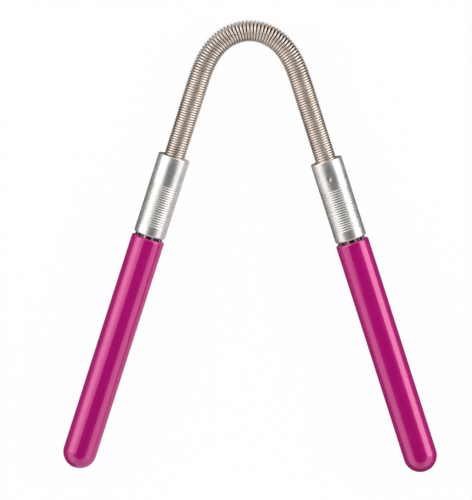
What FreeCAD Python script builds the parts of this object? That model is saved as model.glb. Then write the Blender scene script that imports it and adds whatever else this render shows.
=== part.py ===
import FreeCAD
import Part
import Mesh
import math
import os

# Facial hair removal spring: a close-wound coil bent into a U, held at both ends by ringed ferrules that are
# pressed into two round handles. It lies flat: +Z is up, +Y runs from the handles towards the coil's crown.
# Lengths are millimetres and angles are degrees.

# Spring, one wire wound close. Every turn touches its neighbour on the inside of the bend.
WIRE_DIAMETER = 0.60
COIL_DIAMETER = 5.30
TURN_GAP = 0.022
BEND_LENGTH = 41.0
ARM_LEAN = 17.7
LEFT_RUN = 18.6
RIGHT_RUN = 19.6
SPRING_SEAT = 5.6
STEPS_PER_TURN = 8

# Ferrule, bored for the coil and turned with a band of fine rings
COIL_CLEARANCE = 0.05
SEAT_END_CLEARANCE = 0.10
FERRULE_WALL = 1.30
RIM_CHAMFER = 0.20
SMOOTH_BAND = 7.30
RING_COUNT = 18
RING_PITCH = 0.61
RING_DEPTH = 0.30
LOWER_BAND = 2.47
FOOT_ROUNDING = 0.55

# Crimp dents that hold the coil in the ferrule
DENT_COUNT = 4
DENT_BALL_DIAMETER = 1.80
DENT_DEPTH = 0.20
DENT_DISTANCE = 4.40
LEFT_DENT_TURN = 62.0
RIGHT_DENT_TURN = 4.0

# Ribbed shank of the ferrule, pressed into the handle
SHANK_DIAMETER = 7.00
SHANK_LENGTH = 8.00
NECK_GAP = 0.60
RIB_COUNT = 10
RIB_HEIGHT = 0.35
RIB_ROOT_WIDTH = 0.95
RIB_CREST_WIDTH = 0.45
PRESS_CLEARANCE = 0.02

# Handle, round bar with a bored mouth and a ball end
HANDLE_WALL = 0.68
HANDLE_LENGTH = 60.9
BORE_END_CLEARANCE = 1.0
DRILL_POINT_ANGLE = 118.0
MOUTH_ROUNDING = 0.55
MOUTH_CHAMFER = 0.08

# Sizes that follow from those above
coil_radius = (COIL_DIAMETER - WIRE_DIAMETER) / 2
bend_half = BEND_LENGTH / 2
lean = math.radians(ARM_LEAN)
bend_turn = math.pi / 2 - lean
seat_radius = COIL_DIAMETER / 2 + COIL_CLEARANCE
seat_depth = SPRING_SEAT + SEAT_END_CLEARANCE
ferrule_radius = seat_radius + FERRULE_WALL
ring_band = RING_COUNT * RING_PITCH
ferrule_length = SMOOTH_BAND + ring_band + LOWER_BAND
rim_chamfer = min(RIM_CHAMFER, 0.4 * FERRULE_WALL)
foot_rounding = min(FOOT_ROUNDING, 0.6 * LOWER_BAND)
shank_radius = SHANK_DIAMETER / 2
bore_radius = shank_radius + PRESS_CLEARANCE
handle_radius = bore_radius + HANDLE_WALL
handle_start = ferrule_length + NECK_GAP
bore_depth = SHANK_LENGTH + BORE_END_CLEARANCE
mouth_rounding = min(MOUTH_ROUNDING, 0.85 * HANDLE_WALL)
mouth_chamfer = min(MOUTH_CHAMFER, 0.12 * HANDLE_WALL)
axis_height = max(handle_radius, ferrule_radius)
INTEGRAL_PANELS = 24


def vector(x, y, z):
    return FreeCAD.Vector(x, y, z)


# Centreline of the coil. s is the distance along it from the crown, negative on the left.

def heading(s):
    """Angle of the centreline below +X. It swings through the bend as half a sine wave, as bent wire does."""
    if abs(s) >= bend_half:
        return math.copysign(bend_turn, s)
    return bend_turn * math.sin(math.pi * s / BEND_LENGTH)


def curvature(s):
    if abs(s) >= bend_half:
        return 0.0
    return bend_turn * math.pi / BEND_LENGTH * math.cos(math.pi * s / BEND_LENGTH)


def tangent(s):
    return vector(math.cos(heading(s)), -math.sin(heading(s)), 0)


def outward(s):
    return vector(math.sin(heading(s)), math.cos(heading(s)), 0)


def centre_from_crown(s):
    """Point of the centreline, with the crown at the origin, by Simpson's rule along the bend."""
    inside = max(-bend_half, min(bend_half, s))
    panel = inside / INTEGRAL_PANELS
    point = vector(0, 0, 0)
    for index in range(INTEGRAL_PANELS):
        start = index * panel
        ends = tangent(start) + tangent(start + panel)
        point += (ends + tangent(start + panel / 2) * 4) * (panel / 6)
    return point + tangent(s) * (s - inside)


# Distances along the centreline to the ferrules' rims, and the shift that centres the whole on the origin

left_rim = -(bend_half + LEFT_RUN)
right_rim = bend_half + RIGHT_RUN
ball_centre = handle_start + HANDLE_LENGTH - handle_radius
left_ball = centre_from_crown(left_rim - ball_centre)
right_ball = centre_from_crown(right_rim + ball_centre)
lowest = min(left_ball.y, right_ball.y) - handle_radius
highest = COIL_DIAMETER / 2
shift = vector(-(left_ball.x + right_ball.x) / 2, -(lowest + highest) / 2, axis_height)


def centre(s):
    return centre_from_crown(s) + shift


def put_on_arm(shape, rim, side):
    """Moves a shape made along +Z, with its rim at the origin, onto an arm. Its +X then faces up."""
    along = tangent(rim) * side
    up = vector(0, 0, 1)
    turn = FreeCAD.Rotation(up, along.cross(up), along, "ZXY")
    shape.Placement = FreeCAD.Placement(centre(rim), turn)
    return shape


# Spring

def pitch(s):
    """Advance per turn that keeps the turns a gap apart on the inside of the bend and fans them outside."""
    return (WIRE_DIAMETER + TURN_GAP) / (1 - coil_radius * curvature(s))


def wire_section(s, phase):
    """Four corners of the wire's section: outer, forward, inner and back."""
    radial = outward(s) * math.cos(phase) + vector(0, 0, 1) * math.sin(phase)
    middle = centre(s) + radial * coil_radius
    half = WIRE_DIAMETER / 2
    forward = tangent(s) * half
    radial = radial * half
    return [middle + radial, middle + forward, middle - radial, middle - forward]


def coil_sections():
    """Sections of the wire, one after another, from the left seat to the right seat."""
    s = left_rim - SPRING_SEAT + WIRE_DIAMETER / 2
    last = right_rim + SPRING_SEAT - WIRE_DIAMETER / 2
    step = 0
    sections = []
    while s <= last:
        sections.append(wire_section(s, 2 * math.pi * step / STEPS_PER_TURN))
        half_step = pitch(s) / STEPS_PER_TURN / 2
        s += pitch(s + half_step) / STEPS_PER_TURN
        step += 1
    return sections


def make_spring():
    sections = coil_sections()
    first = sections[0]
    end = sections[-1]
    facets = [[first[0], first[1], first[2]], [first[0], first[2], first[3]]]
    facets += [[end[2], end[1], end[0]], [end[3], end[2], end[0]]]
    for here, there in zip(sections, sections[1:]):
        for corner in range(4):
            beside = (corner + 1) % 4
            facets.append([here[corner], there[corner], here[beside]])
            facets.append([here[beside], there[corner], there[beside]])
    skin = Mesh.Mesh(facets)
    shell = Part.Shape()
    shell.makeShapeFromMesh(skin.Topology, 0.0001)
    print("turns", round((len(sections) - 1) / STEPS_PER_TURN, 1), "facets", len(facets))
    return Part.Solid(shell)


# Turned pieces. Outlines are (radius, distance along the axis).

def revolve(edges):
    face = Part.Face(Part.Wire(edges))
    return face.revolve(vector(0, 0, 0), vector(0, 0, 1), 360)


def line(start, end):
    return Part.makeLine(vector(start[0], 0, start[1]), vector(end[0], 0, end[1]))


def arc(start, middle, end):
    points = [vector(point[0], 0, point[1]) for point in (start, middle, end)]
    return Part.Arc(*points).toShape()


def path(points):
    return [line(start, end) for start, end in zip(points, points[1:])]


def corner_arc(centre_radius, centre_along, size, start_angle):
    """Quarter of a circle about a centre, from an angle measured from the radial direction."""
    points = []
    for angle in (start_angle, start_angle + 45, start_angle + 90):
        turn = math.radians(angle)
        points.append((centre_radius + size * math.cos(turn), centre_along + size * math.sin(turn)))
    return arc(*points)


def ring_profile():
    """Crests and grooves of the ringed band, from the smooth band to the lower band."""
    points = [(ferrule_radius, SMOOTH_BAND)]
    for ring in range(RING_COUNT):
        start = SMOOTH_BAND + ring * RING_PITCH
        points.append((ferrule_radius - RING_DEPTH, start + RING_PITCH / 2))
        points.append((ferrule_radius, start + RING_PITCH))
    return points


def ferrule_body():
    """Turned body with the bore for the coil and the plain core of the shank."""
    core_radius = shank_radius - RIB_HEIGHT
    foot_inner = ferrule_radius - foot_rounding
    foot_start = ferrule_length - foot_rounding
    edges = path([(0, seat_depth), (seat_radius, seat_depth), (seat_radius, 0), (ferrule_radius - rim_chamfer, 0),
                  (ferrule_radius, rim_chamfer)] + ring_profile() + [(ferrule_radius, foot_start)])
    edges.append(corner_arc(foot_inner, foot_start, foot_rounding, 0))
    shank_end = handle_start + SHANK_LENGTH
    edges += path([(foot_inner, ferrule_length), (core_radius, ferrule_length), (core_radius, shank_end),
                   (0, shank_end), (0, seat_depth)])
    return revolve(edges)


def shank_rib():
    """One straight rib, from inside the shank's core to its full radius, from the foot to the shank's end."""
    core_radius = shank_radius - RIB_HEIGHT
    inner = core_radius - RIB_HEIGHT
    half_root = RIB_ROOT_WIDTH / 2
    half_crest = RIB_CREST_WIDTH / 2
    outline = [(inner, -half_root), (core_radius, -half_root), (shank_radius, -half_crest),
               (shank_radius, half_crest), (core_radius, half_root), (inner, half_root), (inner, -half_root)]
    wire = Part.makePolygon([vector(x, y, ferrule_length - foot_rounding) for x, y in outline])
    return Part.Face(wire).extrude(vector(0, 0, foot_rounding + NECK_GAP + SHANK_LENGTH))


def around_axis(shape, count, first_turn):
    copies = []
    for index in range(count):
        copy = shape.copy()
        copy.rotate(vector(0, 0, 0), vector(0, 0, 1), first_turn + index * 360 / count)
        copies.append(copy)
    return copies


def make_ferrule(dent_turn):
    ball_radius = DENT_BALL_DIAMETER / 2
    ball = Part.makeSphere(ball_radius, vector(ferrule_radius + ball_radius - DENT_DEPTH, 0, DENT_DISTANCE))
    body = ferrule_body().fuse(around_axis(shank_rib(), RIB_COUNT, 180 / RIB_COUNT))
    return body.cut(around_axis(ball, DENT_COUNT, dent_turn)).removeSplitter().Solids[0]


def make_handle():
    """Bar with a drilled bore, a rounded mouth and a ball end, from its mouth at handle_start."""
    mouth = handle_start
    bore_end = mouth + bore_depth
    drill_depth = bore_radius / math.tan(math.radians(DRILL_POINT_ANGLE / 2))
    tip = mouth + HANDLE_LENGTH
    ball_start = tip - handle_radius
    mouth_inner = handle_radius - mouth_rounding
    slant = handle_radius * math.sqrt(0.5)
    edges = path([(0, bore_end + drill_depth), (bore_radius, bore_end), (bore_radius, mouth + mouth_chamfer),
                  (bore_radius + mouth_chamfer, mouth), (mouth_inner, mouth)])
    edges.append(corner_arc(mouth_inner, mouth + mouth_rounding, mouth_rounding, -90))
    edges.append(line((handle_radius, mouth + mouth_rounding), (handle_radius, ball_start)))
    edges.append(arc((handle_radius, ball_start), (slant, ball_start + slant), (0, tip)))
    edges.append(line((0, tip), (0, bore_end + drill_depth)))
    return revolve(edges)


nodes = {
    "spring": make_spring(),
    "left_ferrule": put_on_arm(make_ferrule(LEFT_DENT_TURN), left_rim, -1),
    "right_ferrule": put_on_arm(make_ferrule(RIGHT_DENT_TURN), right_rim, 1),
    "left_handle": put_on_arm(make_handle(), left_rim, -1),
    "right_handle": put_on_arm(make_handle(), right_rim, 1),
}
os.makedirs("parts", exist_ok=True)
for name, solid in nodes.items():
    box = solid.BoundBox
    print(name, solid.ShapeType, solid.isValid(), round(solid.Volume, 1), "mm3",
          [round(value, 2) for value in (box.XMin, box.YMin, box.ZMin, box.XMax, box.YMax, box.ZMax)])
    solid.exportStep("parts/" + name + ".step")
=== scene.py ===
import math

import bmesh
import bpy
from mathutils import Matrix, Vector


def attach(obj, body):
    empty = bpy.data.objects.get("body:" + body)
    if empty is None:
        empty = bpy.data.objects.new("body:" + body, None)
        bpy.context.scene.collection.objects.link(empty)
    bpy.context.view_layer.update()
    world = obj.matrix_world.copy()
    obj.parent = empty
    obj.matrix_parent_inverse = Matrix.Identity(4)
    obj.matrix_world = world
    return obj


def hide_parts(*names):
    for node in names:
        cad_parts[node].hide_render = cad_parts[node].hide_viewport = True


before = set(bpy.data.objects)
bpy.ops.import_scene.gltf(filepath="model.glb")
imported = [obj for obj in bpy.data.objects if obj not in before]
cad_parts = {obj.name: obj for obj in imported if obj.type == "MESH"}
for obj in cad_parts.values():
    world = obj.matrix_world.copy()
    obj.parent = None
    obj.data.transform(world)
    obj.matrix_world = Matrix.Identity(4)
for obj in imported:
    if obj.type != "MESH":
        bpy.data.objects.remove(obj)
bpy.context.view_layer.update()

# Facial hair removal spring, lying flat. +Z is up and +Y runs from the handles towards the coil's crown.
# Sizes are metres, written in millimetres, and angles are degrees.
MM = 0.001

# Coil
WIRE_DIAMETER = 0.60 * MM
COIL_DIAMETER = 5.30 * MM
TURN_GAP = 0.022 * MM
BEND_LENGTH = 41.0 * MM
ARM_LEAN = 17.7
LEFT_RUN = 18.6 * MM
RIGHT_RUN = 19.6 * MM
SPRING_SEAT = 5.6 * MM
STEPS_PER_TURN = 24
WIRE_SIDES_LEVEL = 3

# Ferrule
COIL_CLEARANCE = 0.05 * MM
SEAT_END_CLEARANCE = 0.10 * MM
FERRULE_WALL = 1.30 * MM
RIM_CHAMFER = 0.20 * MM
SMOOTH_BAND = 7.30 * MM
RING_COUNT = 18
RING_PITCH = 0.61 * MM
RING_DEPTH = 0.08 * MM
GROOVE_WIDTH = 0.24 * MM
LOWER_BAND = 2.47 * MM
FOOT_ROUNDING = 0.55 * MM
LATHE_STEP = 0.18 * MM

# Crimp dents, a quarter turn apart, and one small ding
DENT_RADIUS = 0.75 * MM
DENT_DEPTH = 0.18 * MM
FAINT_DENT_DEPTH = 0.03 * MM
DENT_DISTANCE = 4.40 * MM
LEFT_DENT_TURN = 62.0
RIGHT_DENT_TURN = 7.0
DING_RADIUS = 0.35 * MM
DING_DEPTH = 0.05 * MM
DING_DISTANCE = 5.9 * MM
DING_TURN = -7.0

# Ribbed shank
SHANK_DIAMETER = 7.00 * MM
SHANK_LENGTH = 8.00 * MM
NECK_GAP = 0.60 * MM
RIB_COUNT = 10
RIB_HEIGHT = 0.35 * MM
RIB_ROOT_WIDTH = 0.95 * MM
RIB_CREST_WIDTH = 0.45 * MM

# Handle
HANDLE_DIAMETER = 8.40 * MM
HANDLE_LENGTH = 60.9 * MM
BORE_DIAMETER = 7.04 * MM
BORE_DEPTH = 9.0 * MM
DRILL_POINT_ANGLE = 118.0
MOUTH_ROUNDING = 0.55 * MM
MOUTH_CHAMFER = 0.08 * MM

AROUND_FERRULE = 144
AROUND_HANDLE = 128
ARC_STEPS = 6
BALL_STEPS = 28
WELD = 0.001 * MM

# Angles above which an edge shows as sharp
WIRE_EDGE = 60.0
FERRULE_EDGE = 25.0
HANDLE_EDGE = 35.0

# Finishes: colours, how much of them shows, and roughness from the darkest cloud to the lightest
WIRE_DARK = (0.62, 0.53, 0.47, 1)
WIRE_LIGHT = (0.74, 0.65, 0.58, 1)
# Colour of tarnished wire in painted shade, where the coil's turns meet and inside the coil
WIRE_TARNISH_AND_SHADE = (0.11, 0.072, 0.052, 1)
WIRE_ROUGHNESS = (0.34, 0.42)
ALUMINIUM_DARK = (0.71, 0.70, 0.685, 1)
ALUMINIUM_LIGHT = (0.82, 0.80, 0.77, 1)
ALUMINIUM_ROUGHNESS = (0.31, 0.39)
RING_DULL = (0.50, 0.48, 0.46, 1)
RING_DULL_SHARE = 0.35
GROOVE_BRIGHT = (0.88, 0.865, 0.84, 1)
# Near-black painted shade in the neck between the ferrule's foot and the handle's mouth
NECK_PAINTED_SHADE = (0.02, 0.008, 0.014, 1)
MAGENTA_DARK = (0.51, 0.0033, 0.190, 1)
MAGENTA_LIGHT = (0.56, 0.0044, 0.212, 1)
MAGENTA_ROUGHNESS = (0.41, 0.47)
MAGENTA_GRAIN = (0.77, 0.011, 0.31, 1)
GRAIN_SHARE = 0.14
MAGENTA_STREAK = (0.36, 0.002, 0.125, 1)
STREAK_SHARE = 0.40
LIP_METAL = (0.75, 0.60, 0.68, 1)

# Noise values at which clouds, streaks, worn specks and uneven recesses begin and are full
CLOUD_NOISE = (0.34, 0.66)
STREAK_NOISE = (0.48, 0.72)
WORN_CLOUD = (0.90, 0.98)
RECESS_NOISE = (0.30, 0.60)

# Least and most that shows of a recess's colour at its deepest
RECESS_SHARES = (0.85, 1.0)

# Where the finishes change
# How far out from and in towards the coil's centreline the tarnished, painted-shade colour reaches
TARNISH_SHADE_ABOVE = 0.06 * MM
TARNISH_SHADE_BELOW = 0.15 * MM
GROOVE_EDGE_DEPTH = 0.005 * MM
GROOVE_FULL_DEPTH = 0.02 * MM
# How far the painted shade in the neck reaches about the rib crests and along the axis
NECK_SHADE_REACH = 0.12 * MM
NECK_SHADE_LENGTH = 3 * NECK_GAP
BAND_SOFTNESS = 0.02 * MM
LIP_WIDTH = 0.30 * MM
LIP_SOFTNESS = 0.15 * MM

coil_radius = (COIL_DIAMETER - WIRE_DIAMETER) / 2
bend_half = BEND_LENGTH / 2
bend_turn = math.pi / 2 - math.radians(ARM_LEAN)
seat_radius = COIL_DIAMETER / 2 + COIL_CLEARANCE
seat_depth = SPRING_SEAT + SEAT_END_CLEARANCE
ferrule_radius = seat_radius + FERRULE_WALL
bore_chamfer = RIM_CHAMFER / 4
ring_end = SMOOTH_BAND + RING_COUNT * RING_PITCH
ferrule_length = ring_end + LOWER_BAND
rib_crest = SHANK_DIAMETER / 2
rib_core = rib_crest - RIB_HEIGHT
handle_radius = HANDLE_DIAMETER / 2
handle_start = ferrule_length + NECK_GAP
left_rim = -(bend_half + LEFT_RUN)
right_rim = bend_half + RIGHT_RUN


# The coil's centreline. s is the distance along it from the crown, negative on the left.

def heading(s):
    if abs(s) >= bend_half:
        return math.copysign(bend_turn, s)
    return bend_turn * math.sin(math.pi * s / BEND_LENGTH)


def curvature(s):
    if abs(s) >= bend_half:
        return 0.0
    return bend_turn * math.pi / BEND_LENGTH * math.cos(math.pi * s / BEND_LENGTH)


def tangent(s):
    return Vector((math.cos(heading(s)), -math.sin(heading(s)), 0))


def outward(s):
    return Vector((math.sin(heading(s)), math.cos(heading(s)), 0))


def centre_from_crown(s):
    """Simpson's rule along the bend, with the crown at the origin."""
    panels = 24
    inside = max(-bend_half, min(bend_half, s))
    panel = inside / panels
    point = Vector((0, 0, 0))
    for index in range(panels):
        start = index * panel
        point += (tangent(start) + 4 * tangent(start + panel / 2) + tangent(start + panel)) * panel / 6
    return point + tangent(s) * (s - inside)


ball_centre = handle_start + HANDLE_LENGTH - handle_radius
left_ball = centre_from_crown(left_rim - ball_centre)
right_ball = centre_from_crown(right_rim + ball_centre)
lowest = min(left_ball.y, right_ball.y) - handle_radius
shift = Vector((-(left_ball.x + right_ball.x) / 2, -(lowest + COIL_DIAMETER / 2) / 2, handle_radius))


def centre(s):
    return centre_from_crown(s) + shift


def arm_place(rim, side):
    """Takes lathe places, with the rim at the origin and the axis along +Z, onto an arm. +X faces up."""
    along = tangent(rim) * side
    up = Vector((0, 0, 1))
    turn = Matrix((up, along.cross(up), along)).transposed()
    return Matrix.Translation(centre(rim)) @ turn.to_4x4()


# Shader nodes

def add_node(tree, kind, **values):
    """A node with its settings, and its inputs set by name or number."""
    node = tree.nodes.new(kind)
    for name, value in values.items():
        if name == "inputs":
            for socket, amount in value.items():
                node.inputs[socket].default_value = amount
        else:
            setattr(node, name, value)
    return node


def maths(tree, operation, *operands):
    """A Math node on sockets or plain numbers."""
    node = add_node(tree, "ShaderNodeMath", operation=operation)
    for socket, operand in zip(node.inputs, operands):
        if isinstance(operand, (int, float)):
            socket.default_value = operand
        else:
            tree.links.new(operand, socket)
    return node.outputs[0]


def ramp(tree, value, start, end, low=0.0, high=1.0, kind="LINEAR"):
    """Low to high as the value goes from start to end, and held beyond them."""
    node = add_node(tree, "ShaderNodeMapRange", interpolation_type=kind,
                    inputs={"From Min": start, "From Max": end, "To Min": low, "To Max": high})
    tree.links.new(value, node.inputs["Value"])
    return node.outputs["Result"]


def soft_ramp(tree, value, start, end, low=0.0, high=1.0):
    """A ramp that starts and ends gently."""
    return ramp(tree, value, start, end, low, high, "SMOOTHSTEP")


def band(tree, value, start, end, soft):
    """1 between two distances and 0 outside them."""
    rise = ramp(tree, value, start - soft, start + soft)
    fall = ramp(tree, value, end + soft, end - soft)
    return maths(tree, "MULTIPLY", rise, fall)


def new_material(name, **surface):
    """A material with a Principled surface, and the tree and surface node to build on."""
    material = bpy.data.materials.new(name)
    material.use_nodes = True
    tree = material.node_tree
    shader = tree.nodes["Principled BSDF"]
    for socket, value in surface.items():
        shader.inputs[socket.replace("_", " ")].default_value = value
    return material, tree, shader


def new_group(name, inputs, outputs):
    """A shader node group with named sockets. Inputs give the socket kind and its default."""
    group = bpy.data.node_groups.new(name, "ShaderNodeTree")
    for label, (kind, value) in inputs.items():
        socket = group.interface.new_socket(label, in_out="INPUT", socket_type="NodeSocket" + kind)
        if value is not None:
            socket.default_value = value
    for label, kind in outputs.items():
        group.interface.new_socket(label, in_out="OUTPUT", socket_type="NodeSocket" + kind)
    return group, add_node(group, "NodeGroupInput"), add_node(group, "NodeGroupOutput")


def make_mottle():
    """Soft clouds of two colours, as on metal that was tumbled, dyed or handled."""
    inputs = {"Place": ("Vector", None), "Scale": ("Float", 400.0)}
    inputs |= {"Dark": ("Color", None), "Light": ("Color", None)}
    group, given, made = new_group("mottle", inputs, {"Color": "Color", "Cloud": "Float"})
    noise = add_node(group, "ShaderNodeTexNoise", inputs={"Detail": 4.0, "Roughness": 0.6})
    cloud = ramp(group, noise.outputs["Fac"], *CLOUD_NOISE)
    blend = add_node(group, "ShaderNodeMix", data_type="RGBA")
    group.links.new(given.outputs["Place"], noise.inputs["Vector"])
    group.links.new(given.outputs["Scale"], noise.inputs["Scale"])
    group.links.new(cloud, blend.inputs[0])
    group.links.new(given.outputs["Dark"], blend.inputs[6])
    group.links.new(given.outputs["Light"], blend.inputs[7])
    group.links.new(blend.outputs[2], made.inputs["Color"])
    group.links.new(cloud, made.inputs["Cloud"])
    return group


def make_fine_lines():
    """Fine parallel tool lines. The stretch is high across the lines and low along them."""
    inputs = {"Place": ("Vector", None), "Stretch": ("Vector", (1.0, 1.0, 1.0))}
    group, given, made = new_group("fine_lines", inputs, {"Height": "Float"})
    scaled = add_node(group, "ShaderNodeVectorMath", operation="MULTIPLY")
    noise = add_node(group, "ShaderNodeTexNoise", inputs={"Scale": 1.0, "Detail": 3.0, "Roughness": 0.65})
    group.links.new(given.outputs["Place"], scaled.inputs[0])
    group.links.new(given.outputs["Stretch"], scaled.inputs[1])
    group.links.new(scaled.outputs[0], noise.inputs["Vector"])
    group.links.new(noise.outputs["Fac"], made.inputs["Height"])
    return group


def make_recess():
    """How far down a recess a point lies, from a shallow radius to a deep one, a little uneven."""
    inputs = {"Place": ("Vector", None), "Radius": ("Float", 0.0)}
    inputs |= {"Shallow": ("Float", 1.0), "Deep": ("Float", 0.0)}
    group, given, made = new_group("recess", inputs, {"Share": "Float"})
    share = add_node(group, "ShaderNodeMapRange", interpolation_type="SMOOTHSTEP")
    noise = add_node(group, "ShaderNodeTexNoise", inputs={"Scale": 900.0, "Detail": 2.0})
    group.links.new(given.outputs["Radius"], share.inputs["Value"])
    group.links.new(given.outputs["Shallow"], share.inputs["From Min"])
    group.links.new(given.outputs["Deep"], share.inputs["From Max"])
    group.links.new(given.outputs["Place"], noise.inputs["Vector"])
    uneven = ramp(group, noise.outputs["Fac"], *RECESS_NOISE, *RECESS_SHARES)
    group.links.new(maths(group, "MULTIPLY", share.outputs["Result"], uneven), made.inputs["Share"])
    return group


def use_group(tree, group, place, **values):
    """A group in a material, fed with the place, and its other inputs set."""
    node = add_node(tree, "ShaderNodeGroup", node_tree=group, inputs=values)
    tree.links.new(place, node.inputs["Place"])
    return node


def add_split(tree, place):
    split = add_node(tree, "ShaderNodeSeparateXYZ")
    tree.links.new(place, split.inputs[0])
    return split


def axis_radius(tree, split):
    """Distance from the lathe axis, from split lathe places."""
    flat = add_node(tree, "ShaderNodeCombineXYZ")
    tree.links.new(split.outputs["X"], flat.inputs["X"])
    tree.links.new(split.outputs["Y"], flat.inputs["Y"])
    length = add_node(tree, "ShaderNodeVectorMath", operation="LENGTH")
    tree.links.new(flat.outputs[0], length.inputs[0])
    return length.outputs["Value"]


def blend_colour(tree, share, under, over):
    """The under colour covered by a plain over colour where the share is 1."""
    blend = add_node(tree, "ShaderNodeMix", data_type="RGBA", inputs={7: over})
    tree.links.new(share, blend.inputs[0])
    tree.links.new(under, blend.inputs[6])
    return blend.outputs[2]


def raise_lines(tree, shader, height, strength, depth):
    """Tool lines as a bump on the surface."""
    bump = add_node(tree, "ShaderNodeBump", inputs={"Strength": strength, "Distance": depth})
    tree.links.new(height, bump.inputs["Height"])
    tree.links.new(bump.outputs["Normal"], shader.inputs["Normal"])


def coil_finish(groups):
    """Nickel-plated wire, warm, and tarnished with painted shade where the turns meet and inside the coil.
    """
    material, tree, shader = new_material("coil_nickel", Metallic=1.0)
    place = add_node(tree, "ShaderNodeTexCoord").outputs["Object"]
    reach = add_node(tree, "ShaderNodeAttribute", attribute_name="coil_reach").outputs["Fac"]
    cloud = use_group(tree, groups["mottle"], place, Scale=260.0, Dark=WIRE_DARK, Light=WIRE_LIGHT)
    # Tarnished wire in painted shade, darkening the recesses between turns and the inside of the coil
    tarnish_and_shade = use_group(tree, groups["recess"], place, Shallow=coil_radius + TARNISH_SHADE_ABOVE,
                        Deep=coil_radius - TARNISH_SHADE_BELOW)
    tree.links.new(reach, tarnish_and_shade.inputs["Radius"])
    colour = blend_colour(tree, tarnish_and_shade.outputs["Share"], cloud.outputs["Color"], WIRE_TARNISH_AND_SHADE)
    tree.links.new(colour, shader.inputs["Base Color"])
    roughness = ramp(tree, cloud.outputs["Cloud"], 0, 1, *WIRE_ROUGHNESS)
    tree.links.new(roughness, shader.inputs["Roughness"])
    lines = use_group(tree, groups["fine_lines"], place, Stretch=(9000.0, 9000.0, 9000.0))
    raise_lines(tree, shader, lines.outputs["Height"], strength=0.1, depth=0.006 * MM)
    return material


def ferrule_finish(groups):
    """Turned aluminium: fine lathe lines round it, soft clouds, dull rings with bright cut grooves, and
    painted shade between the ribs in the neck."""
    material, tree, shader = new_material("turned_aluminium", Metallic=0.84)
    place = add_node(tree, "ShaderNodeAttribute", attribute_name="lathe_place").outputs["Vector"]
    split = add_split(tree, place)
    radius = axis_radius(tree, split)
    cloud = use_group(tree, groups["mottle"], place, Scale=330.0, Dark=ALUMINIUM_DARK, Light=ALUMINIUM_LIGHT)
    groove = use_group(tree, groups["recess"], place, Shallow=ferrule_radius - GROOVE_EDGE_DEPTH,
                       Deep=ferrule_radius - GROOVE_FULL_DEPTH)
    neck = use_group(tree, groups["recess"], place, Shallow=rib_crest + NECK_SHADE_REACH,
                     Deep=rib_crest - NECK_SHADE_REACH)
    for recess in (groove, neck):
        tree.links.new(radius, recess.inputs["Radius"])
    ring_band = band(tree, split.outputs["Z"], SMOOTH_BAND, ring_end, BAND_SOFTNESS)
    neck_end = ferrule_length + NECK_SHADE_LENGTH
    neck_band = band(tree, split.outputs["Z"], ferrule_length, neck_end, BAND_SOFTNESS)
    dull = maths(tree, "MULTIPLY", ring_band, RING_DULL_SHARE)
    bright = maths(tree, "MULTIPLY", groove.outputs["Share"], ring_band)
    # Painted shade in the neck, between the ribs
    neck_shade = maths(tree, "MULTIPLY", neck.outputs["Share"], neck_band)
    colour = blend_colour(tree, dull, cloud.outputs["Color"], RING_DULL)
    colour = blend_colour(tree, bright, colour, GROOVE_BRIGHT)
    colour = blend_colour(tree, neck_shade, colour, NECK_PAINTED_SHADE)
    tree.links.new(colour, shader.inputs["Base Color"])
    roughness = ramp(tree, cloud.outputs["Cloud"], 0, 1, *ALUMINIUM_ROUGHNESS)
    tree.links.new(roughness, shader.inputs["Roughness"])
    lines = use_group(tree, groups["fine_lines"], place, Stretch=(260.0, 260.0, 14000.0))
    raise_lines(tree, shader, lines.outputs["Height"], strength=0.3, depth=0.008 * MM)
    return material


def handle_finish(groups):
    """Magenta anodised tube under a clear sealed surface, with a fine grain, faint streaks along it, and
    the lip worn to bare metal in specks."""
    material, tree, shader = new_material(
        "magenta_anodise", Metallic=0.32, Coat_Weight=1.0, Coat_Roughness=0.05, Coat_IOR=1.65,
        Specular_IOR_Level=0.0)
    place = add_node(tree, "ShaderNodeAttribute", attribute_name="lathe_place").outputs["Vector"]
    split = add_split(tree, place)
    cloud = use_group(tree, groups["mottle"], place, Scale=210.0, Dark=MAGENTA_DARK, Light=MAGENTA_LIGHT)
    specks = use_group(tree, groups["mottle"], place, Scale=2600.0)
    streaks = use_group(tree, groups["fine_lines"], place, Stretch=(1400.0, 1400.0, 22.0))
    lip = band(tree, split.outputs["Z"], handle_start, handle_start + LIP_WIDTH, LIP_SOFTNESS)
    grain = soft_ramp(tree, specks.outputs["Cloud"], 0, 1, 0, GRAIN_SHARE)
    streak = soft_ramp(tree, streaks.outputs["Height"], *STREAK_NOISE, 0, STREAK_SHARE)
    worn = maths(tree, "MULTIPLY", ramp(tree, specks.outputs["Cloud"], *WORN_CLOUD), lip)
    colour = blend_colour(tree, grain, cloud.outputs["Color"], MAGENTA_GRAIN)
    colour = blend_colour(tree, streak, colour, MAGENTA_STREAK)
    colour = blend_colour(tree, worn, colour, LIP_METAL)
    tree.links.new(colour, shader.inputs["Base Color"])
    roughness = ramp(tree, cloud.outputs["Cloud"], 0, 1, *MAGENTA_ROUGHNESS)
    tree.links.new(roughness, shader.inputs["Roughness"])
    lines = use_group(tree, groups["fine_lines"], place, Stretch=(5000.0, 5000.0, 120.0))
    raise_lines(tree, shader, lines.outputs["Height"], strength=0.15, depth=0.006 * MM)
    return material


# Shapes

def arc_points(middle, size, start, end, steps):
    """Points of an arc about a middle, from one angle to another, measured from the radial direction."""
    points = []
    for step in range(steps + 1):
        turn = math.radians(start + (end - start) * step / steps)
        points.append((middle[0] + size * math.cos(turn), middle[1] + size * math.sin(turn)))
    return points


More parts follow.
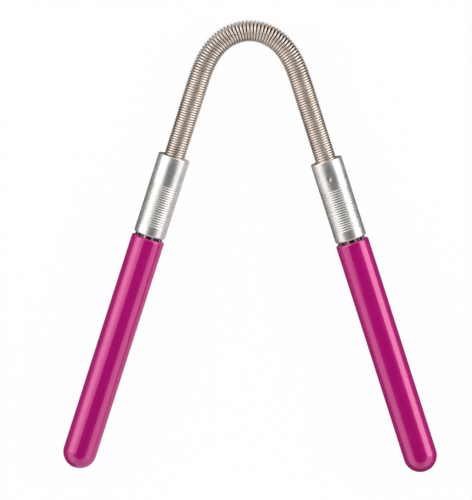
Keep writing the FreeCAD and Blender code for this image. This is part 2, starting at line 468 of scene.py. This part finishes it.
def turned(outline, around):
    """A closed turned shape from points (radius, distance along the axis)."""
    shape = bmesh.new()
    points = [shape.verts.new((radius, 0, along)) for radius, along in outline]
    edges = [shape.edges.new(pair) for pair in zip(points, points[1:])]
    bmesh.ops.spin(shape, geom=points + edges, cent=(0, 0, 0), axis=(0, 0, 1), dvec=(0, 0, 0),
                   angle=2 * math.pi, steps=around, use_merge=True, use_duplicate=False)
    bmesh.ops.remove_doubles(shape, verts=shape.verts, dist=WELD)
    bmesh.ops.recalc_face_normals(shape, faces=shape.faces)
    return shape


def put_in_scene(shape, name, node, material, place, sharp_angle):
    """Keeps each point's lathe place for the material, moves the shape to its arm, and makes it a piece."""
    lathe = shape.verts.layers.float_vector.new("lathe_place")
    for point in shape.verts:
        point[lathe] = point.co
    bmesh.ops.transform(shape, matrix=place, verts=shape.verts)
    mesh = bpy.data.meshes.new(name)
    shape.to_mesh(mesh)
    shape.free()
    make_piece(mesh, name, node, material, sharp_angle)


def make_piece(mesh, name, node, material, sharp_angle):
    """A mesh in its place as a piece of the part, with smooth faces between its sharp edges."""
    mesh.shade_smooth()
    mesh.set_sharp_from_angle(angle=math.radians(sharp_angle))
    mesh.materials.clear()
    mesh.materials.append(material)
    piece = bpy.data.objects.new(name, mesh)
    bpy.context.scene.collection.objects.link(piece)
    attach(piece, "root")
    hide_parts(node)


def pitch(s):
    """Advance along the centreline in one turn. The turns keep their gap on the inner side of the bend."""
    return (WIRE_DIAMETER + TURN_GAP) / (1 - coil_radius * curvature(s))


def coil_stations():
    """Distances along the centreline, a step of a turn apart, from the left seat to the right seat."""
    s = left_rim - SPRING_SEAT + WIRE_DIAMETER / 2
    last = right_rim + SPRING_SEAT - WIRE_DIAMETER / 2
    stations = []
    while s <= last:
        stations.append(s)
        half_step = pitch(s) / STEPS_PER_TURN / 2
        s += pitch(s + half_step) / STEPS_PER_TURN
    return stations


def wire_middle(s, step):
    phase = 2 * math.pi * step / STEPS_PER_TURN
    radial = outward(s) * math.cos(phase) + Vector((0, 0, 1)) * math.sin(phase)
    return centre(s) + radial * coil_radius


def make_coil(material):
    """One round wire swept along the helix. Each point keeps its distance from the coil's centreline."""
    stations = coil_stations()
    curve = bpy.data.curves.new("coil_line", "CURVE")
    curve.dimensions = "3D"
    curve.bevel_depth = WIRE_DIAMETER / 2
    curve.bevel_resolution = WIRE_SIDES_LEVEL
    curve.use_fill_caps = True
    line = curve.splines.new("POLY")
    line.points.add(len(stations) - 1)
    for step, s in enumerate(stations):
        line.points[step].co = (*wire_middle(s, step), 1)
    sweep = bpy.data.objects.new("coil_line", curve)
    mesh = bpy.data.meshes.new_from_object(sweep)
    bpy.data.objects.remove(sweep)
    mesh.name = "spring_coil"
    sides = len(mesh.vertices) // len(stations)
    reach = mesh.attributes.new("coil_reach", "FLOAT", "POINT")
    for index, point in enumerate(mesh.vertices):
        s = stations[min(index // sides, len(stations) - 1)]
        reach.data[index].value = (point.co - centre(s)).length
    make_piece(mesh, "spring_coil", "spring", material, WIRE_EDGE)


def ring_outline():
    """Broad flat crests with a shallow V groove between them, from the smooth band to the lower band."""
    points = [(ferrule_radius, SMOOTH_BAND)]
    for ring in range(RING_COUNT):
        middle = SMOOTH_BAND + (ring + 0.5) * RING_PITCH
        points.append((ferrule_radius, middle - GROOVE_WIDTH / 2))
        points.append((ferrule_radius - RING_DEPTH, middle))
        points.append((ferrule_radius, middle + GROOVE_WIDTH / 2))
    points.append((ferrule_radius, ring_end))
    return points


def plain_run(radius, start, end):
    """Evenly spaced points of a cylinder, ends left out."""
    count = round((end - start) / LATHE_STEP)
    return [(radius, start + (end - start) * index / count) for index in range(1, count)]


def ferrule_outline():
    rim_middle = (ferrule_radius - RIM_CHAMFER, RIM_CHAMFER)
    foot_middle = (ferrule_radius - FOOT_ROUNDING, ferrule_length - FOOT_ROUNDING)
    shank_end = handle_start + SHANK_LENGTH
    points = [(0, seat_depth), (seat_radius, seat_depth), (seat_radius, bore_chamfer),
              (seat_radius + bore_chamfer, 0)]
    points += arc_points(rim_middle, RIM_CHAMFER, -90, 0, ARC_STEPS)
    points += plain_run(ferrule_radius, RIM_CHAMFER, SMOOTH_BAND)
    points += ring_outline()
    points += arc_points(foot_middle, FOOT_ROUNDING, 0, 90, ARC_STEPS)
    points += [(rib_core, ferrule_length), (rib_core, shank_end), (0, shank_end)]
    return points


def press_dent(shape, turn, distance, radius, depth):
    """Presses one soft round dent into the smooth band."""
    angle = math.radians(turn)
    middle = Vector((ferrule_radius * math.cos(angle), ferrule_radius * math.sin(angle), distance))
    for point in shape.verts:
        share = (point.co - middle).length / radius
        if share < 1 and point.co.xy.length > seat_radius + WELD:
            pressed = depth * (1 + math.cos(math.pi * share)) / 2
            point.co.xy *= 1 - pressed / ferrule_radius


def add_ribs(shape):
    """Straight ribs rooted in the shank's core, from inside the foot to the shank's end."""
    start = ferrule_length - FOOT_ROUNDING
    length = FOOT_ROUNDING + NECK_GAP + SHANK_LENGTH
    root = rib_core - RIB_HEIGHT
    half_root = RIB_ROOT_WIDTH / 2
    half_crest = RIB_CREST_WIDTH / 2
    corners = [(root, -half_root), (rib_core, -half_root), (rib_crest, -half_crest),
               (rib_crest, half_crest), (rib_core, half_root), (root, half_root)]
    section = [shape.verts.new((x, y, start)) for x, y in corners]
    face = shape.faces.new(section)
    raised = bmesh.ops.extrude_face_region(shape, geom=[face], use_keep_orig=True)["geom"]
    top = [part for part in raised if isinstance(part, bmesh.types.BMVert)]
    bmesh.ops.translate(shape, vec=(0, 0, length), verts=top)
    rib = section + top
    rib_faces = {face for point in rib for face in point.link_faces}
    bmesh.ops.recalc_face_normals(shape, faces=list(rib_faces))
    rib_edges = {edge for face in rib_faces for edge in face.edges}
    bmesh.ops.rotate(shape, cent=(0, 0, 0), matrix=Matrix.Rotation(math.pi / RIB_COUNT, 3, "Z"), verts=rib)
    bmesh.ops.spin(shape, geom=rib + list(rib_edges) + list(rib_faces), cent=(0, 0, 0), axis=(0, 0, 1),
                   dvec=(0, 0, 0), angle=2 * math.pi * (RIB_COUNT - 1) / RIB_COUNT, steps=RIB_COUNT - 1,
                   use_duplicate=True)


def make_ferrule(name, node, rim, side, dents, material):
    """Dents are given as turn round the axis, distance from the rim, radius and depth."""
    shape = turned(ferrule_outline(), AROUND_FERRULE)
    for dent in dents:
        press_dent(shape, *dent)
    add_ribs(shape)
    put_in_scene(shape, name, node, material, arm_place(rim, side), FERRULE_EDGE)


def handle_outline():
    bore_radius = BORE_DIAMETER / 2
    bore_end = handle_start + BORE_DEPTH
    drill_depth = bore_radius / math.tan(math.radians(DRILL_POINT_ANGLE / 2))
    mouth_middle = (handle_radius - MOUTH_ROUNDING, handle_start + MOUTH_ROUNDING)
    points = [(0, bore_end + drill_depth), (bore_radius, bore_end)]
    points += [(bore_radius, handle_start + MOUTH_CHAMFER), (bore_radius + MOUTH_CHAMFER, handle_start)]
    points += arc_points(mouth_middle, MOUTH_ROUNDING, -90, 0, ARC_STEPS)
    points += arc_points((0, ball_centre), handle_radius, 0, 90, BALL_STEPS)
    return points


def make_handle(name, node, rim, side, material):
    shape = turned(handle_outline(), AROUND_HANDLE)
    put_in_scene(shape, name, node, material, arm_place(rim, side), HANDLE_EDGE)


# Camera
FRAME_HEIGHT = 125.0 * MM
LENS = 500.0
SENSOR = 36.0
CAMERA_LEAN = 6.5
AIM = Vector((-3.53 * MM, -0.77 * MM, handle_radius))

# Paper: its tones, how much plain white shows in it, and where these change
FLOOR_HALF = 3.0
PAPER_WHITE = (0.95, 0.95, 0.95, 1)
PAPER_TONE = (0.75, 0.75, 0.75, 1)
CARD_TONE = (0.08, 0.08, 0.08, 1)
# Colour of a shadow painted on the paper under the coil
COIL_SHADOW_TONE = (0.09, 0.075, 0.065, 1)
WHITE_SEEN = 0.975
WHITE_NEAR = 0.04
WHITE_FAR = 0.60
INSIDE_SHARE = 0.20
WHITE_END = 8 * MM
HANDLE_MIDDLE = Vector((0, -30 * MM, 0))
NEAR_REACH = 55 * MM
FAR_REACH = 120 * MM
# Where the shadow painted under the coil begins, the white it leaves, and the occlusion reach and levels at
# which it is full and gone
COIL_START = 33 * MM
COIL_SOFTNESS = 6 * MM
COVER_GLOW = 0.06
COVER_REACH = 3.0 * MM
COVER_DARK = 0.60
COVER_OPEN = 0.86

# Room: heights and widths on a ball of radius 1, and levels of light
CEILING_EDGE = 0.78
WALL_TOP = 0.58
CEILING_LEVEL = 0.08
WALL_LEVEL = 1.30
FRONT_EDGE = 0.25
SIDE_EDGE = 0.65
FRONT_SHARE = 0.62

# Softboxes
SOFTBOX_DISTANCE = 0.60
SOFTBOX_WIDTH = 0.66


def show_mixed(tree, share, first, second, output_kind):
    """Two shaders to the tree's output, the second one where the share is 1."""
    mix = add_node(tree, "ShaderNodeMixShader")
    output = add_node(tree, output_kind)
    tree.links.new(share, mix.inputs["Fac"])
    tree.links.new(first.outputs[0], mix.inputs[1])
    tree.links.new(second.outputs[0], mix.inputs[2])
    tree.links.new(mix.outputs[0], output.inputs["Surface"])


def inner_side(tree, split):
    """1 between the arms on the left half of the paper, and 0 elsewhere."""
    lean = math.tan(math.radians(ARM_LEAN))
    arm_line = centre(right_rim).x + lean * centre(right_rim).y
    lean_share = maths(tree, "MULTIPLY", split.outputs["Y"], lean)
    across = maths(tree, "ADD", maths(tree, "ABSOLUTE", split.outputs["X"]), lean_share)
    between_arms = soft_ramp(tree, across, arm_line - handle_radius / 2, arm_line + handle_radius / 2, 1, 0)
    left_half = soft_ramp(tree, split.outputs["X"], 0, WHITE_END, 1, 0)
    return maths(tree, "MULTIPLY", between_arms, left_half)


def coil_shadow_mask(tree, ray, split):
    """1 where the camera looks at paper that the coil covers, which gets a painted shadow, and 0 in the
    open.
    """
    cover = add_node(tree, "ShaderNodeAmbientOcclusion", samples=16, inputs={"Distance": COVER_REACH})
    coil_shadow = soft_ramp(tree, cover.outputs["AO"], COVER_DARK, COVER_OPEN, 1, 0)
    coil_end = soft_ramp(tree, split.outputs["Y"], COIL_START - COIL_SOFTNESS, COIL_START + COIL_SOFTNESS)
    return maths(tree, "MULTIPLY", maths(tree, "MULTIPLY", coil_shadow, coil_end), ray.outputs["Is Camera Ray"])


def white_share(tree, ray, place, inside):
    """Share of plain white in the paper: nearly all for the camera, and for metal little near the object,
    some on the inner side and more farther out."""
    away = add_node(tree, "ShaderNodeVectorMath", operation="DISTANCE", inputs={1: HANDLE_MIDDLE})
    tree.links.new(place, away.inputs[0])
    far = soft_ramp(tree, away.outputs["Value"], NEAR_REACH, FAR_REACH)
    open_paper = maths(tree, "MAXIMUM", far, maths(tree, "MULTIPLY", inside, INSIDE_SHARE))
    bounced = maths(tree, "MAXIMUM", ray.outputs["Is Glossy Ray"], ray.outputs["Is Transmission Ray"])
    mirrored = maths(tree, "MULTIPLY", bounced, soft_ramp(tree, open_paper, 0, 1, WHITE_NEAR, WHITE_FAR))
    seen = maths(tree, "MULTIPLY", ray.outputs["Is Camera Ray"], WHITE_SEEN)
    return maths(tree, "ADD", mirrored, seen)


def paper_colour(tree, ray, inside, coil_shadow):
    """White for the camera, with a painted shadow where the coil covers it. Other light meets pale paper on
    the inner side and dark card elsewhere."""
    tone = add_node(tree, "ShaderNodeMix", data_type="RGBA", inputs={6: CARD_TONE, 7: PAPER_TONE})
    tree.links.new(inside, tone.inputs[0])
    seen = blend_colour(tree, ray.outputs["Is Camera Ray"], tone.outputs[2], PAPER_WHITE)
    return blend_colour(tree, coil_shadow, seen, COIL_SHADOW_TONE)


def studio_paper():
    """Matt paper that keeps the object's shadow, mixed with plain white for the camera and the metal."""
    material = bpy.data.materials.new("studio_paper")
    material.use_nodes = True
    tree = material.node_tree
    tree.nodes.clear()
    ray = add_node(tree, "ShaderNodeLightPath")
    place = add_node(tree, "ShaderNodeTexCoord").outputs["Object"]
    split = add_split(tree, place)
    inside = inner_side(tree, split)
    # A shadow painted on the paper under the coil, dark in colour and dim in white, from ambient occlusion
    coil_shadow = coil_shadow_mask(tree, ray, split)
    paper = add_node(tree, "ShaderNodeBsdfDiffuse")
    white = add_node(tree, "ShaderNodeEmission", inputs={"Color": (1, 1, 1, 1)})
    tree.links.new(paper_colour(tree, ray, inside, coil_shadow), paper.inputs["Color"])
    tree.links.new(soft_ramp(tree, coil_shadow, 0, 1, 1, COVER_GLOW), white.inputs["Strength"])
    show_mixed(tree, white_share(tree, ray, place, inside), paper, white, "ShaderNodeOutputMaterial")
    return material


def make_floor():
    shape = bmesh.new()
    bmesh.ops.create_grid(shape, x_segments=1, y_segments=1, size=FLOOR_HALF)
    mesh = bpy.data.meshes.new("floor")
    shape.to_mesh(mesh)
    shape.free()
    mesh.materials.append(studio_paper())
    floor = bpy.data.objects.new("floor", mesh)
    bpy.context.scene.collection.objects.link(floor)


def make_world():
    """A dim ceiling over walls that are bright at the sides and dimmer before and behind. The camera sees
    white."""
    world = bpy.data.worlds.new("studio")
    bpy.context.scene.world = world
    world.use_nodes = True
    tree = world.node_tree
    tree.nodes.clear()
    split = add_split(tree, add_node(tree, "ShaderNodeTexCoord").outputs["Generated"])
    room = add_node(tree, "ShaderNodeBackground", inputs={"Color": (1, 1, 1, 1)})
    walls = soft_ramp(tree, split.outputs["Z"], CEILING_EDGE, WALL_TOP, CEILING_LEVEL, WALL_LEVEL)
    aside = maths(tree, "ABSOLUTE", split.outputs["X"])
    sides = soft_ramp(tree, aside, FRONT_EDGE, SIDE_EDGE, FRONT_SHARE, 1)
    tree.links.new(maths(tree, "MULTIPLY", walls, sides), room.inputs["Strength"])
    white = add_node(tree, "ShaderNodeBackground", inputs={"Color": (1, 1, 1, 1), "Strength": 1.0})
    ray = add_node(tree, "ShaderNodeLightPath")
    show_mixed(tree, ray.outputs["Is Camera Ray"], room, white, "ShaderNodeOutputWorld")


def add_softbox(name, azimuth, from_zenith, length, radiance):
    """A rectangular lamp that faces the object. Azimuth 0 is +X and 90 is +Y."""
    light = bpy.data.lights.new(name, "AREA")
    light.shape = "RECTANGLE"
    light.size = SOFTBOX_WIDTH
    light.size_y = length
    light.energy = radiance * math.pi * SOFTBOX_WIDTH * length
    lamp = bpy.data.objects.new(name, light)
    bpy.context.scene.collection.objects.link(lamp)
    tilt = math.radians(from_zenith)
    turn = math.radians(azimuth)
    toward = Vector((math.sin(tilt) * math.cos(turn), math.sin(tilt) * math.sin(turn), math.cos(tilt)))
    lamp.location = toward * SOFTBOX_DISTANCE
    lamp.rotation_mode = "QUATERNION"
    lamp.rotation_quaternion = toward.to_track_quat("Z", "Y")
    lamp.visible_camera = False


def make_lights():
    add_softbox("left_softbox", azimuth=155, from_zenith=52.8, length=0.62, radiance=1.28)
    add_softbox("right_softbox", azimuth=22, from_zenith=71.4, length=0.45, radiance=1.92)


def make_camera():
    data = bpy.data.cameras.new("camera")
    data.lens = LENS
    data.sensor_width = SENSOR
    camera = bpy.data.objects.new("camera", data)
    bpy.context.scene.collection.objects.link(camera)
    lean = math.radians(CAMERA_LEAN)
    back = Vector((0, math.sin(lean), math.cos(lean)))
    camera.location = AIM + back * (FRAME_HEIGHT * LENS / SENSOR)
    camera.rotation_euler = (-lean, 0, 0)
    bpy.context.scene.camera = camera


bpy.context.scene.view_settings.view_transform = "Standard"
make_floor()
make_world()
make_lights()
make_camera()
groups = {"mottle": make_mottle(), "fine_lines": make_fine_lines(), "recess": make_recess()}
metal = ferrule_finish(groups)
magenta = handle_finish(groups)
make_coil(coil_finish(groups))
crimp = (DENT_DISTANCE, DENT_RADIUS, DENT_DEPTH)
left_dents = [(LEFT_DENT_TURN + turn, *crimp) for turn in (0, 90, 180)]
left_dents.append((LEFT_DENT_TURN - 90, DENT_DISTANCE, DENT_RADIUS, FAINT_DENT_DEPTH))
right_dents = [(RIGHT_DENT_TURN + turn, *crimp) for turn in (0, 90, 180, 270)]
right_dents.append((DING_TURN, DING_DISTANCE, DING_RADIUS, DING_DEPTH))
make_ferrule("ferrule_left", "left_ferrule", left_rim, -1, left_dents, metal)
make_ferrule("ferrule_right", "right_ferrule", right_rim, 1, right_dents, metal)
make_handle("handle_left", "left_handle", left_rim, -1, magenta)
make_handle("handle_right", "right_handle", right_rim, 1, magenta)
